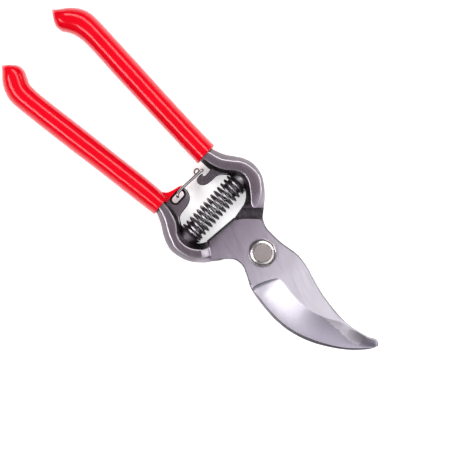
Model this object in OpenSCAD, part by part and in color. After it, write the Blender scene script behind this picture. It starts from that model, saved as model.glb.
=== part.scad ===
// Bypass pruner: two forged arms that cross on a pivot bolt, with dipped grips,
// a return spring between the handles and a wire catch.
// It lies flat: +X runs towards the blade's tip, +Y towards the hook arm's handle and
// +Z out of the blade's face. The origin is the centre of the nut's end face.

/* [Heights] */
// Thickness of the grips, which sets the height of the joint between the arms
grip_t = 16.8; // [15:0.2:19]
// Thickness of the forged necks
neck_t = 13; // [11:0.5:14]
// Thickness of the blade plate
blade_t = 3.2; // [2.6:0.1:3.6]
// Thickness of the hook plate
hook_t = 4.2; // [3.4:0.1:4.4]
// Thickness of the ear and of the catch lobe
lobe_t = 6; // [5:0.2:7]

/* [Pivot] */
// Diameter of the bolt's shank
shank_d = 8; // [6:0.5:9]
// Diameter of the bolt's round head
head_d = 13; // [11:0.5:15]
// Diameter of the flat on the bolt's head
head_flat_d = 8; // [6:0.5:10]
// Height of the bolt's head
head_h = 2.2; // [1.6:0.1:3]
// Diameter of the bolt's threaded end
thread_d = 6; // [5:0.5:6]
// Width of the nut across its flats
nut_w = 12; // [10:0.5:14]
// Thickness of the nut
nut_h = 3.6; // [3:0.1:3.6]

/* [Spring] */
// Outer diameter of the return spring
spring_d = 11; // [10:0.5:12]
// Diameter of the spring's wire
spring_wire = 1.4; // [1:0.1:1.8]
// Number of turns
spring_turns = 14; // [10:1:16]

/* [Catch] */
// Diameter of the catch's wire
catch_wire = 1.4; // [1:0.1:1.6]
// Height of the catch from leg to leg, between the wires' middles
catch_w = 9.4; // [9:0.2:11]

/* [Hidden] */
$fn = 64;

steel = [0.62, 0.60, 0.64];
dark_steel = [0.35, 0.34, 0.36];
grip_red = [0.85, 0.02, 0.06];

mid_z = grip_t / 2;
gap = 0.05;
fit = 0.04;
eps = 0.01;
hook_bottom = mid_z - hook_t;
hook_top = mid_z - gap;
blade_bottom = mid_z + gap;
blade_top = mid_z + blade_t;
edge_land = 0.5;
washer_t = hook_bottom - nut_h - gap;

// The spring stands between the bosses, square to the closed handles.
spring_x = -29.8;
spring_low = -15.3;
spring_high = 15.7;
post_d = 7.6;
post_h = 6;
seat_h = 4.6;
seat_neck_d = 4.8;

// The catch turns on an axis along Z in the ear's hole, and ends in a crossbar.
hinge = [-45.3, -7];
ear_hole = [3, 6.4];
crossbar = [-45.2, 9.3];

// Each row of a neck is one cross-section, from the pivot to the grip's mouth:
// its inner and its outer point on the joint plane.
hook_neck = [[-19.7, 4.5, -10.6, 11.8], [-20.6, 9.3, -13.6, 15.9], [-21.8, 12.4, -16.2, 19.4],
             [-23.8, 14.9, -19.8, 22.9], [-26.8, 16.7, -24.4, 25.9], [-30, 17.3, -30, 27],
             [-33.6, 16.4, -34.6, 26], [-37.6, 13.6, -38.6, 23.8], [-42, 11.9, -42.4, 21.4],
             [-47, 11.8, -47, 19.8], [-50.5, 12, -50.5, 19.2]];
blade_neck = [[-19.6, -4.5, -11, -13.6], [-20.4, -9, -14, -17.8], [-21.6, -12.4, -16.8, -21.2],
              [-23.6, -15.1, -20.4, -24.2], [-26.7, -17, -24.8, -26.3], [-30, -17.5, -30, -27],
              [-33.6, -16.6, -34.6, -26.1], [-37.4, -14, -38.6, -24], [-42, -12.4, -42.4, -21.4],
              [-47, -12.2, -47, -19], [-50.5, -12.2, -50.5, -18.6]];

// Each row of a grip is the inner and the outer point of one cross-section.
hook_grip_line = [[-48.6, 10.1, -48.6, 21.2], [-60, 10.9, -60, 21.9], [-80, 12.5, -80, 23.6],
                  [-100, 14.2, -100, 25.5], [-120, 16.1, -120, 27.3], [-127, 16, -129.4, 27.8],
                  [-131, 14.8, -134.7, 26.3], [-134.2, 13.1, -138.7, 23.4], [-137.6, 12.8, -141, 20.8],
                  [-141, 14.6, -142.8, 18.6]];
blade_grip_line = [[-48.2, -10.2, -47.8, -20], [-60, -10.3, -60, -21], [-80, -11.7, -80, -22.5],
                   [-100, -13.1, -100, -24.2], [-120, -14.6, -120, -25.6], [-128, -14.6, -129, -26],
                   [-131.5, -13.2, -134.5, -24.6], [-134.6, -11.6, -138.4, -22.2],
                   [-138, -11.5, -141, -19.6], [-141.2, -13.6, -142.6, -18]];
tang_w = 5.4;
tang_t = 10;

// A grip's section is |cos|^flat_x across and |sin|^flat_z up, with a groove along both faces.
// It is drawn in at the mouth, at the rounded end and round the drip point.
grip_sides = 24;
flat_x = 0.8;
flat_z = 0.75;
groove = 0.06;
mouth_size = 0.93;
drip_size = 0.08;

// Catmull-Rom curve through rows of numbers, with n steps between two rows.
function step(p, i, t) =
    let (a = p[max(i - 1, 0)], b = p[i], c = p[i + 1], d = p[min(i + 2, len(p) - 1)])
    (2 * b + (c - a) * t + (2 * a - 5 * b + 4 * c - d) * t * t
     + (3 * b - a - 3 * c + d) * t * t * t) / 2;
function curve(p, n) = [for (i = [0:len(p) - 2]) for (k = [0:n - 1]) step(p, i, k / n),
                        p[len(p) - 1]];
function unit(v) = v / norm(v);

// Area vector of a ring, which points along the rings when they go round the right way.
function add(v, i = 0) = i < len(v) - 1 ? v[i] + add(v, i + 1) : v[i];
function area(ring) = add([for (j = [0:len(ring) - 1]) cross(ring[j], ring[(j + 1) % len(ring)])]);

// Closed solid between rings of points, turned round where that makes its faces point out.
module loft(rings) {
    n = len(rings[0]);
    last = len(rings) - 1;
    ahead = area(rings[1]) * (add(rings[1]) - add(rings[0])) > 0;
    polyhedron(
        points = [for (r = rings) for (j = [0:n - 1]) r[ahead ? j : n - 1 - j]],
        faces = concat(
            [[for (j = [0:n - 1]) j]],
            [for (i = [0:last - 1]) for (j = [0:n - 1])
                [i * n + j, (i + 1) * n + j, i * n + (j + 1) % n]],
            [for (i = [0:last - 1]) for (j = [0:n - 1])
                [i * n + (j + 1) % n, (i + 1) * n + j, (i + 1) * n + (j + 1) % n]],
            [[for (j = [n - 1:-1:0]) last * n + j]]));
}

// Round wire of radius r along a path, with its rings carried round the bends.
module wire(path, r, sides) {
    n = len(path);
    dirs = [for (i = [0:n - 1]) unit(path[min(i + 1, n - 1)] - path[max(i - 1, 0)])];
    ref = abs(dirs[0][2]) < 0.9 ? [0, 0, 1] : [1, 0, 0];
    sideways = [for (i = 0, s = unit(cross(dirs[0], ref)); i < n;
                     i = i + 1, s = i < n ? unit(s - dirs[i] * (s * dirs[i])) : s) s];
    loft([for (i = [0:n - 1]) let (s = sideways[i], u = cross(s, dirs[i]))
        [for (k = [0:sides - 1]) path[i] + r * (s * cos(360 * k / sides) + u * sin(360 * k / sides))]]);
}

// One ring of a neck: the flat faces are narrower than the middle, so the walls slope.
function neck_ring(row, bottom, top) =
    let (a = [row[0], row[1]], b = [row[2], row[3]], m = 1, inner = 0.3, outer = 0.82,
         lo = min(mid_z - m, top - 0.1), hi = max(mid_z + m, bottom + 0.1))
    [for (p = [[0, max(lo, bottom + 0.1)], [0, min(hi, top - 0.1)], [inner, top], [outer, top],
               [1, min(hi, top - 0.1)], [1, max(lo, bottom + 0.1)], [outer, bottom], [inner, bottom]])
        let (q = a + (b - a) * p[0]) [q[0], q[1], p[1]]];

// Neck with a cliff down to the joint plane on one face, where the other arm's disc lies,
// and a ramp down to the plate on the other face. up is 1 when the cliff is on top.
function neck_rings(rows, plate, up) =
    let (c = curve(rows, 4))
    [for (i = [0:len(c) - 1])
        let (cliff_h = lookup(i, [[3, -3 * gap], [5, neck_t / 2]]),
             ramp_h = lookup(i, [[3, plate], [9, neck_t / 2]]))
        up == 1 ? neck_ring(c[i], mid_z - ramp_h, mid_z + cliff_h)
                : neck_ring(c[i], mid_z - cliff_h, mid_z + ramp_h)];

// One ring of a tang, an even bar in the middle of the grip.
function tang_ring(row) =
    let (a = [row[0], row[1]], b = [row[2], row[3]], m = (a + b) / 2, u = unit(b - a) * tang_w / 2,
         e = 1.2)
    [for (p = [[-1, -tang_t / 2 + e], [-1, tang_t / 2 - e], [-0.6, tang_t / 2], [0.6, tang_t / 2],
               [1, tang_t / 2 - e], [1, e - tang_t / 2], [0.6, -tang_t / 2], [-0.6, -tang_t / 2]])
        [m[0] + u[0] * p[0], m[1] + u[1] * p[0], mid_z + p[1]]];

// Forged bar of an arm: its neck and, inside the grip, its tang.
module arm_bar(neck, plate, up, line) {
    c = curve(line, 4);
    loft(concat(neck_rings(neck, plate, up), [for (i = [2:len(c) - 10]) tang_ring(c[i])]));
}

// One ring of a grip: a rounded oval with a shallow groove along its two faces.
function grip_ring(row, squeeze) =
    let (a = [row[0], row[1]], b = [row[2], row[3]], m = (a + b) / 2, u = (b - a) / 2)
    [for (k = [0:grip_sides - 1])
        let (w = 90 + 360 * (0.5 + k) / grip_sides, c = cos(w), s = sin(w),
             x = sign(c) * pow(abs(c), flat_x),
             z = sign(s) * pow(abs(s), flat_z) * (1 - groove * pow(s, 4)) / (1 - groove),
             q = m + u * x)
        [q[0], q[1], mid_z + z * grip_t / 2 * squeeze]];

// Swept grip that narrows at its mouth and ends in a drip point.
module grip_solid(line, tip) {
    c = curve(line, 4);
    n = len(c);
    end = c[n - 1];
    point = [tip[0], tip[1], tip[0], tip[1]];
    loft(concat(
        [grip_ring(c[0], mouth_size)],
        [for (i = [1:n - 1]) grip_ring(c[i], sin(min(90, 22 + (n - 1 - i) * 9)) * 0.45 + 0.55)],
        [grip_ring(end * 0.35 + point * 0.65 + [0, -0.5, 0, 0.5] * sign(end[3]), 0.3)],
        [grip_ring(point + [0, -0.2, 0, 0.2] * sign(end[3]), drip_size)]));
}

// Plates of the two arms, as seen from above. Both have a cut-back corner over the other neck.
blade_back = [[-18.8, 3.6], [-16.5, 6.4], [-14, 8.5], [-10.6, 11], [-6.8, 9.5], [0, 9.1], [5, 9.4],
              [10, 10], [14, 9.9], [19, 8.9], [25, 6.8], [32, 4.6], [40, 3], [48, 2.2], [54, 2.6],
              [60, 4], [64.4, 6]];
blade_tip = [[66.3, 4.6], [66.5, 2.8]];
blade_edge = [[65, 1.2], [60, -3.5], [55, -7.5], [50, -10.4], [45, -12.8], [40, -14.8], [35, -16.2],
              [30, -17], [25, -17.2], [20, -16.9], [15, -16.1], [9, -15]];
blade_heel = [[5, -14], [2, -12.8], [-2, -10.4], [-5, -10.1], [-8, -11.2], [-11, -14], [-14, -17.8]];
plate_left = [[-20.4, -9], [-19.6, -4.5], [-19.4, 0]];
hook_upper = [[-14, 16.3], [-11, 12.4], [-8, 10.2], [-2, 9], [4, 8.9], [9, 7], [11.6, 2.6],
              [12.4, -2.6], [15, -7.6], [20, -10.6], [26, -11.8], [32, -11.4], [38, -9.8], [45, -6.6],
              [52, -2.9], [59, 0.6], [66.4, 3.1]];
hook_edge = [[65, 0.6], [60, -4.9], [55, -8.8], [50, -11.8], [45, -14.3], [40, -16.3], [35, -17.6],
             [30, -18.4], [25, -18.6], [20, -18.2], [15, -17.5], [10, -16.4], [5, -14.4],
             [1, -11.8], [-2, -10], [-6.8, -9.5], [-10.6, -11], [-14, -8.5], [-16.5, -6.4],
             [-18.8, -3.6]];

module blade_plate() {
    translate([0, 0, blade_bottom])
        linear_extrude(blade_top - blade_bottom)
            polygon(concat(curve(blade_back, 2), blade_tip, curve(blade_edge, 2),
                           curve(blade_heel, 2), plate_left));
}

// Wedge that grinds the blade's upper face down to its cutting edge.
module blade_bevel() {
    edge = [[8.5, -17.5], [15, -16.5], [20, -17.3], [25, -17.6], [30, -17.4], [35, -16.6],
            [40, -15.2], [45, -13.1], [50, -10.7], [55, -7.8], [60, -3.8], [66.5, 1.6]];
    ridge = [[12, -4], [15, -3.4], [20, -4.6], [25, -5], [29, -5], [33, -4.6], [37, -3.6],
             [41, -2], [45, 0], [49, 1.6], [56, 1.8], [66.4, 3.6]];
    loft([for (i = [0:len(edge) - 1])
        let (beyond = edge[i] + 2 * unit(edge[i] - ridge[i]))
        [[edge[i][0], edge[i][1], blade_bottom + edge_land],
         [beyond[0], beyond[1], blade_bottom + edge_land],
         [beyond[0], beyond[1], blade_top + 1],
         [ridge[i][0], ridge[i][1], blade_top + 1],
         [ridge[i][0], ridge[i][1], blade_top]]]);
}

module hook_plate() {
    translate([0, 0, hook_bottom])
        linear_extrude(hook_top - hook_bottom)
            polygon(concat([[-19.4, 0], [-19.7, 4.5], [-20.6, 9.3]], curve(hook_upper, 2),
                           curve(hook_edge, 2)));
}

// Boss that the end of the spring sits on, and the post inside its last turns.
module spring_boss(y, dir, seat_d) {
    translate([spring_x, y, mid_z])
        rotate([90 * dir, 0, 0]) {
            cylinder(d1 = seat_d, d2 = seat_neck_d, h = seat_h);
            translate([0, 0, -post_h]) cylinder(d = post_d, h = post_h + 1);
        }
}

// Ear of the blade arm, with the long hole that the catch hangs in.
module ear() {
    outline = [[-47.5, -16.5], [-47.5, -6], [-47.1, -3.6], [-46.2, -2.2], [-44, -2.2], [-41.8, -3],
               [-40.2, -4.7], [-39.3, -7], [-39, -11.6], [-38.2, -13.6], [-36.4, -14.8], [-36.4, -18]];
    hole = [for (a = [0:15:345]) hinge + ear_hole[0] / 2 * [cos(a), sin(a)]
            + [0, (a < 180 ? 1 : -1) * (ear_hole[1] - ear_hole[0]) / 2]];
    translate([0, 0, mid_z - lobe_t / 2])
        linear_extrude(lobe_t)
            difference() {
                polygon(outline);
                polygon(hole);
            }
}

// J-shaped lobe of the hook arm, whose notch holds the catch's crossbar.
module catch_lobe() {
    outline = [[-42.6, 15], [-42.6, 8.4], [-43, 7.7], [-43.6, 7.7], [-43.9, 8.2], [-44.3, 7.8],
               [-44.5, 5.6], [-44.1, 4], [-42.8, 3.4], [-40.9, 4.1], [-39.4, 5.8], [-38.8, 8.2],
               [-38.6, 12], [-37.2, 13.6], [-35.6, 15.4], [-37, 18]];
    translate([0, 0, mid_z - lobe_t / 2]) linear_extrude(lobe_t) polygon(outline);
}

module blade_arm() {
    color(steel)
        difference() {
            union() {
                difference() {
                    blade_plate();
                    blade_bevel();
                }
                arm_bar(blade_neck, blade_t, 0, blade_grip_line);
                ear();
                spring_boss(spring_low, 1, 12);
            }
            translate([0, 0, -eps]) cylinder(d = shank_d + fit, h = grip_t);
        }
}

module hook_arm() {
    color(steel)
        difference() {
            union() {
                hook_plate();
                arm_bar(hook_neck, hook_t, 1, hook_grip_line);
                catch_lobe();
                spring_boss(spring_high, -1, 10.6);
            }
            translate([0, 0, -eps]) cylinder(d = shank_d + 2 * fit, h = grip_t);
        }
}

// The dipped coat also runs up the ear's handle side as a thin flange.
module blade_arm_grip() {
    flange = [[-47.6, -13], [-47.6, -6], [-47.2, -3.6], [-46.5, -2.3], [-46.9, -1.6], [-47.9, -2.8],
              [-48.7, -5.4], [-49.8, -8.6], [-52.5, -10.8], [-54, -13]];
    color(grip_red)
        difference() {
            union() {
                grip_solid(blade_grip_line, [-144, -16.6]);
                translate([0, 0, mid_z - lobe_t / 2 - 0.4])
                    linear_extrude(lobe_t + 0.8) polygon(flange);
            }
            arm_bar(blade_neck, blade_t, 0, blade_grip_line);
        }
}

module hook_arm_grip() {
    color(grip_red)
        difference() {
            grip_solid(hook_grip_line, [-144.2, 17.2]);
            arm_bar(hook_neck, hook_t, 1, hook_grip_line);
        }
}

module pivot_bolt() {
    dome = 0.7;
    color(dark_steel)
        rotate_extrude()
            polygon([[0, 0], [thread_d / 2, 0], [thread_d / 2, hook_bottom], [shank_d / 2, hook_bottom],
                     [shank_d / 2, blade_top], [head_d / 2, blade_top],
                     [head_d / 2, blade_top + head_h - 1.5], [head_d / 2 - dome, blade_top + head_h - 0.7],
                     [head_flat_d / 2, blade_top + head_h], [0, blade_top + head_h]]);
}

module pivot_washer() {
    color(dark_steel)
        translate([0, 0, nut_h])
            difference() {
                cylinder(d = nut_w, h = washer_t);
                translate([0, 0, -eps]) cylinder(d = thread_d + 2 * fit, h = washer_t + 1);
            }
}

module pivot_nut() {
    color(dark_steel)
        difference() {
            cylinder(d = nut_w / cos(30), h = nut_h, $fn = 6);
            translate([0, 0, -eps]) cylinder(d = thread_d + fit, h = nut_h + 1);
        }
}

// Helix along Y; the wire's ends lie flat on the bosses.
module return_spring() {
    r = (spring_d - spring_wire) / 2;
    steps = 12;
    n = spring_turns * steps;
    low = spring_low + spring_wire / 2 + gap;
    high = spring_high - spring_wire / 2 - gap;
    // The first and last turns are closed up, and the turns between share what is left.
    rise = function (u) u < 1 ? 0.5 * u * u * u : u > spring_turns - 1
        ? spring_turns - 1 - 0.5 * pow(spring_turns - u, 3) : u - 0.5;
    color(dark_steel)
        wire([for (i = [0:n]) let (a = 360 * i / steps)
            [spring_x + r * cos(a), low + (high - low) * rise(i / steps) / (spring_turns - 1),
             mid_z + r * sin(a)]], spring_wire / 2, 8);
}

// Wire bail: both ends drop into the ear's hole, and the far end is the crossbar.
module safety_catch() {
    h = catch_w / 2;
    leg = [[hinge[0] - 0.8, -6.3], [-46.4, -4.6], [-46.4, -1.5], [-46.1, 1.5], [-45.9, 5],
           [-45.7, 7.8]];
    end_z = 1.2;
    half = concat([[hinge[0], hinge[1], end_z], [hinge[0], hinge[1], h - 0.8],
                   [hinge[0] - 0.2, hinge[1] + 0.2, h - 0.1]],
                  [for (p = curve(leg, 2)) [p[0], p[1], h]],
                  [[crossbar[0], crossbar[1] - 0.2, h - 0.2], [crossbar[0], crossbar[1], h - 0.8]]);
    up = [for (p = half) [p[0], p[1], mid_z + p[2]]];
    down = [for (i = [len(half) - 1:-1:0]) [half[i][0], half[i][1], mid_z - half[i][2]]];
    color(dark_steel) wire(concat(up, down), catch_wire / 2, 10);
}

// Bent strip that the thumb pushes, held on the catch's two legs.
module catch_tab() {
    outer = [[-46.4, 8.4], [-47.2, 8.4], [-47.8, 7.6], [-47.5, 6.4], [-46.6, 5.6]];
    inner = [[-46.5, 6.5], [-46.9, 6.9], [-47.1, 7.5], [-46.8, 7.8], [-46.4, 7.7]];
    color("sienna")
        translate([0, 0, mid_z - catch_w / 2])
            linear_extrude(catch_w) polygon(concat(outer, inner));
}

blade_arm();
hook_arm();
blade_arm_grip();
hook_arm_grip();
pivot_bolt();
pivot_washer();
pivot_nut();
return_spring();
safety_catch();
catch_tab();
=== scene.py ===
"""Bypass pruner: forged arms with dipped grips, pivot hardware, return spring and wire catch.

Shapes are worked out in millimetres in the frame's own axes and put into meshes in metres.
"""

import bpy
import numpy as np
from mathutils import Matrix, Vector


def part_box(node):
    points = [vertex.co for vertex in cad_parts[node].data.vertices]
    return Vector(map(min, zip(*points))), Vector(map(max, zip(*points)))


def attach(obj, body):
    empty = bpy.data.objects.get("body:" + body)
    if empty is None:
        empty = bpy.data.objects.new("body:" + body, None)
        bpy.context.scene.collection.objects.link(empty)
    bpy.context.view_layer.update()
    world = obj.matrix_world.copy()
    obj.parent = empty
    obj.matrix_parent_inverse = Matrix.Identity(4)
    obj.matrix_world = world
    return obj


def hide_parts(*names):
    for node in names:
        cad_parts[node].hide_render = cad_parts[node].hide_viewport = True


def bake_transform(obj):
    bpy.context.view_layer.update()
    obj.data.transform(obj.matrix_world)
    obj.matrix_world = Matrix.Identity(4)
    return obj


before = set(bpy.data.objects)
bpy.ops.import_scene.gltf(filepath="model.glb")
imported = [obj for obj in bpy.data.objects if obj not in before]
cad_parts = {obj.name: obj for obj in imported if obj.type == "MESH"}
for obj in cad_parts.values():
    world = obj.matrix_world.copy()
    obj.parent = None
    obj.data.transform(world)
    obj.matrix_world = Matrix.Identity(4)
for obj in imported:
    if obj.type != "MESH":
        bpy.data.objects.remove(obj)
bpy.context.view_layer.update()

# ------------------------------------------------------------------ sizes from the frame
MM = 0.001


def node_box(name):
    """Lowest and highest corner of a frame node, in millimetres."""
    low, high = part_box(name)
    return np.array(low) / MM, np.array(high) / MM


ARM_LOW, ARM_HIGH = node_box("hook_arm")
GRIP_LOW, GRIP_HIGH = node_box("hook_arm_grip")
BOLT_HIGH = node_box("pivot_bolt")[1]
NUT_LOW, NUT_HIGH = node_box("pivot_nut")
WASHER_LOW, WASHER_HIGH = node_box("pivot_washer")
SPRING_LOW, SPRING_HIGH = node_box("return_spring")
CATCH_LOW, CATCH_HIGH = node_box("safety_catch")
TAB_LOW, TAB_HIGH = node_box("catch_tab")

MID_Z = (ARM_LOW[2] + ARM_HIGH[2]) / 2      # joint plane between the two arms
NECK_H = (ARM_HIGH[2] - ARM_LOW[2]) / 2     # half the thickness of a neck
GRIP_H = (GRIP_HIGH[2] - GRIP_LOW[2]) / 2   # half the thickness of a grip
GAP = 0.05                                  # from the joint plane to either plate
BLADE_T = 3.2                               # thickness of the blade
HOOK_T = 4.2                                # thickness of the hook
LOBE_H = 3.0                                # half the thickness of the ear and of the lobe
BLADE_TOP = MID_Z + BLADE_T
HOOK_BOTTOM = MID_Z - HOOK_T
END_DRAFT = 1.0                             # lean of the wall at the blade's square end
SHANK_R = 4.0                               # radius of the bolt's shank
THREAD_R = 3.0                              # radius of its thread
HEAD_R = BOLT_HIGH[0]                       # radius of its head
SPRING_X = (SPRING_LOW[0] + SPRING_HIGH[0]) / 2     # axis of the coil
WIRE_R = 0.7                                # half the wire's room in the coil and the catch


# ------------------------------------------------------------------ shape functions
def along(rows, t):
    """Catmull-Rom curve through the rows, at the places t, counted in rows from 0."""
    p = np.asarray(rows, float)
    p = np.vstack([p[:1], p, p[-1:]])
    t = np.asarray(t, float)
    i = np.clip(t.astype(int), 0, len(p) - 4)
    f = (t - i)[:, None]
    a, b, c, d = p[i], p[i + 1], p[i + 2], p[i + 3]
    return (2 * b + (c - a) * f + (2 * a - 5 * b + 4 * c - d) * f ** 2
            + (3 * b - a - 3 * c + d) * f ** 3) / 2


def smooth_outline(points, steps):
    """The same curve, closed on itself, with that many steps between two points."""
    p = np.asarray(points, float)
    ring = np.vstack([p[-1:], p, p[:2]])
    t = 1 + np.arange(len(p) * steps) / steps
    return along(ring, t)


def unit(v):
    """Vectors of length 1."""
    return v / np.maximum(np.linalg.norm(v, axis=-1, keepdims=True), 1e-9)


def rounded(corners, radii, steps=4):
    """Sections with rounded corners. Each corner P becomes a quadratic arc from P moved by its
    radius towards the corner before, to P moved by it towards the next: corners is
    (sections, corners, 2)."""
    back = np.roll(corners, 1, axis=1) - corners
    ahead = np.roll(corners, -1, axis=1) - corners
    r = np.asarray(radii, float)[None, :, None]
    r_back = np.minimum(r, 0.45 * np.linalg.norm(back, axis=-1, keepdims=True))
    r_ahead = np.minimum(r, 0.45 * np.linalg.norm(ahead, axis=-1, keepdims=True))
    start = (corners + unit(back) * r_back)[:, :, None]
    end = (corners + unit(ahead) * r_ahead)[:, :, None]
    t = np.linspace(0, 1, steps)[None, None, :, None]
    arcs = (1 - t) ** 2 * start + 2 * t * (1 - t) * corners[:, :, None] + t ** 2 * end
    return arcs.reshape(len(corners), -1, 2)


def make_object(name, points, faces, sharp=30):
    """Object with that mesh, smooth but for edges sharper than so many degrees. Faces are
    turned round if the volume that they enclose comes out negative."""
    points = np.asarray(points, float)
    first = np.array([f[0] for f in faces for _ in range(len(f) - 2)])
    second = np.array([f[k] for f in faces for k in range(1, len(f) - 1)])
    third = np.array([f[k] for f in faces for k in range(2, len(f))])
    volume = np.einsum("ij,ij->", points[first], np.cross(points[second], points[third]))
    if volume < 0:
        faces = [f[::-1] for f in faces]
    mesh = bpy.data.meshes.new(name)
    mesh.from_pydata((points * MM).tolist(), [], faces)
    obj = bpy.data.objects.new(name, mesh)
    bpy.context.scene.collection.objects.link(obj)
    finish_shading(obj, sharp)
    return obj


def finish_shading(obj, sharp):
    """Smooth faces, with the edges sharper than so many degrees kept crisp."""
    mesh = obj.data
    mesh.polygons.foreach_set("use_smooth", np.ones(len(mesh.polygons), bool))
    mesh.set_sharp_from_angle(angle=np.radians(sharp))
    mesh.update()


def loft(name, rings, sharp=30, loop=False):
    """Closed surface through rings of points: point j of ring i joins point j of ring i + 1,
    and the first and last rings are closed by a face of their own, or joined in a loop."""
    rings = np.asarray(rings, float)
    count, around = rings.shape[:2]
    spans = count if loop else count - 1
    i, j = np.meshgrid(np.arange(spans), np.arange(around), indexing="ij")
    k, n = (j + 1) % around, (i + 1) % count
    quads = np.stack([i * around + j, i * around + k, n * around + k, n * around + j], -1)
    faces = quads.reshape(-1, 4).tolist()
    if not loop:
        faces.append(list(range(around))[::-1])
        faces.append(list(range((count - 1) * around, count * around)))
    return make_object(name, rings.reshape(-1, 3), faces, sharp)


def spun(name, profile, sides=96, axis="Z", at=(0, 0, 0), sharp=30):
    """Turned shape: each (radius, height) of the profile goes round the axis through at."""
    profile = np.asarray(profile, float)
    a = 2 * np.pi * np.arange(sides) / sides
    r, h = profile[:, :1], np.repeat(profile[:, 1:], sides, axis=1)
    x, y = r * np.cos(a), r * np.sin(a)
    rings = np.stack([x, y, h] if axis == "Z" else [x, h, y], -1) + np.asarray(at, float)
    return loft(name, rings, sharp)


def tube(name, path, radius, sides=16, sharp=50):
    """Round wire: a circle carried along the path, its first side vector turned on from one
    point to the next so that it never twists. Two smaller circles dome each end."""
    path = np.asarray(path, float)
    ahead = unit(np.gradient(path, axis=0))
    side = np.empty_like(path)
    s = np.cross(ahead[0], [0.0, 0.1, 1.0])
    for i, d in enumerate(ahead):
        s = s - d * (s @ d)
        s = s / np.linalg.norm(s)
        side[i] = s
    dome_r = radius * np.array([0.35, 0.8])
    dome_out = radius * np.array([[0.35], [0.25]])
    r = np.concatenate([dome_r, np.full(len(path), radius), dome_r[::-1]])[:, None, None]
    path = np.vstack([path[0] - ahead[0] * dome_out, path, path[-1] + ahead[-1] * dome_out[::-1]])
    up = np.pad(np.cross(ahead, side), ((2, 2), (0, 0)), mode="edge")
    side = np.pad(side, ((2, 2), (0, 0)), mode="edge")
    a = (2 * np.pi * np.arange(sides) / sides)[None, :, None]
    rings = path[:, None] + r * (np.cos(a) * side[:, None] + np.sin(a) * up[:, None])
    return loft(name, rings, sharp)


def slab(name, outline, low, high, rim, sharp=30):
    """Plate with rounded rims: the outline moves in along its normals by rim (1 - cos a) as
    the height rises by rim sin a, with a from 0 to 90 degrees at the top and at the bottom."""
    p = np.asarray(outline, float)
    ahead = np.roll(p, -1, axis=0) - np.roll(p, 1, axis=0)
    x, y = p[:, 0], p[:, 1]
    turn = np.sign(np.sum(x * np.roll(y, -1) - y * np.roll(x, -1)))
    inward = unit(np.stack([-ahead[:, 1], ahead[:, 0]], -1)) * turn
    a = np.radians(np.linspace(0, 90, 5))
    move = rim * (1 - np.cos(a))
    rise = rim * np.sin(a)
    inset = np.concatenate([move[::-1], move])
    z = np.concatenate([low + rim - rise[::-1], high - rim + rise])
    flat = p[None] + inset[:, None, None] * inward[None]
    rings = np.concatenate([flat, np.repeat(z[:, None, None], len(p), axis=1)], -1)
    return loft(name, rings, sharp)


def welded(base, others, operation="UNION", sharp=30):
    """Base with the others joined to it, or cut out of it, as one shell."""
    for other in others:
        weld = base.modifiers.new("weld", "BOOLEAN")
        weld.operation = operation
        weld.solver = "MANIFOLD"
        weld.object = other
    bpy.context.view_layer.update()
    shape = base.evaluated_get(bpy.context.evaluated_depsgraph_get())
    mesh = bpy.data.meshes.new_from_object(shape)
    base.modifiers.clear()
    base.data = mesh
    for other in others:
        bpy.data.objects.remove(other)
    finish_shading(base, sharp)
    return base


# ------------------------------------------------------------------ arms
# A row of a neck: x and y of its inner point and of its outer point, and the two rims of its
# flat band as shares of the way across. Rows run from the pivot to the grip.
HOOK_NECK = [[-19.7, 4.5, -10.6, 11.8, 0.40, 0.76], [-20.6, 9.3, -13.6, 15.9, 0.38, 0.77],
             [-21.8, 12.4, -16.2, 19.4, 0.29, 0.79], [-23.8, 14.9, -19.8, 22.9, 0.24, 0.84],
             [-26.8, 16.7, -24.4, 25.9, 0.29, 0.87], [-30, 17.3, -30, 27, 0.33, 0.82],
             [-33.6, 16.4, -34.6, 26, 0.29, 0.80], [-37.6, 13.6, -38.6, 23.8, 0.25, 0.76],
             [-42, 11.9, -42.4, 21.4, 0.26, 0.73], [-47, 11.8, -47, 19.8, 0.21, 0.74],
             [-50.5, 12, -50.5, 19.2, 0.20, 0.74]]
BLADE_NECK = [[-20, -6, -10.5, -13.2, 0.28, 0.72], [-20.7, -9.6, -12.2, -15.8, 0.29, 0.73],
              [-21.8, -12.8, -14.3, -18.2, 0.30, 0.75], [-23.8, -15.8, -16.8, -21.3, 0.33, 0.79],
              [-26.7, -17.3, -22.6, -25.4, 0.36, 0.79], [-30, -17.6, -30, -27, 0.37, 0.77],
              [-33.6, -16.6, -34.6, -26.1, 0.34, 0.71], [-37.4, -14.1, -38.6, -24, 0.24, 0.73],
              [-42, -12.4, -42.4, -21.4, 0.23, 0.70], [-47, -12.2, -47, -19, 0.18, 0.68],
              [-50.5, -12.2, -50.5, -18.6, 0.18, 0.68]]
# A row of a grip: x and y of its inner point and of its outer point.
HOOK_GRIP = [[-48.6, 10.1, -48.6, 21.2], [-60, 10.9, -60, 21.9], [-80, 12.5, -80, 23.6],
             [-100, 14.2, -100, 25.5], [-120, 16.1, -120, 27.3], [-127, 16, -129.4, 27.8],
             [-131, 14.8, -134.7, 26.3], [-134.2, 13.1, -138.7, 23.4],
             [-137.6, 12.8, -141, 20.8], [-141, 14.6, -142.8, 18.6]]
BLADE_GRIP = [[-48.2, -10.2, -47.8, -20], [-60, -10.3, -60, -21], [-80, -11.7, -80, -22.5],
              [-100, -13.1, -100, -24.2], [-120, -14.6, -120, -25.6], [-128, -14.6, -129, -26],
              [-131.5, -13.2, -134.5, -24.6], [-134.6, -11.6, -138.4, -22.2],
              [-138, -11.5, -141, -19.6], [-141.2, -13.6, -142.6, -18]]
HOOK_DRIP = (-144.2, 17.2)
BLADE_DRIP = (-144.0, -16.6)
TANG_W = 5.4                                # width of a tang
TANG_H = 5.0                                # half its thickness
TANG_WALL_H = 3.8                           # half the height of its upright wall
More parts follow.
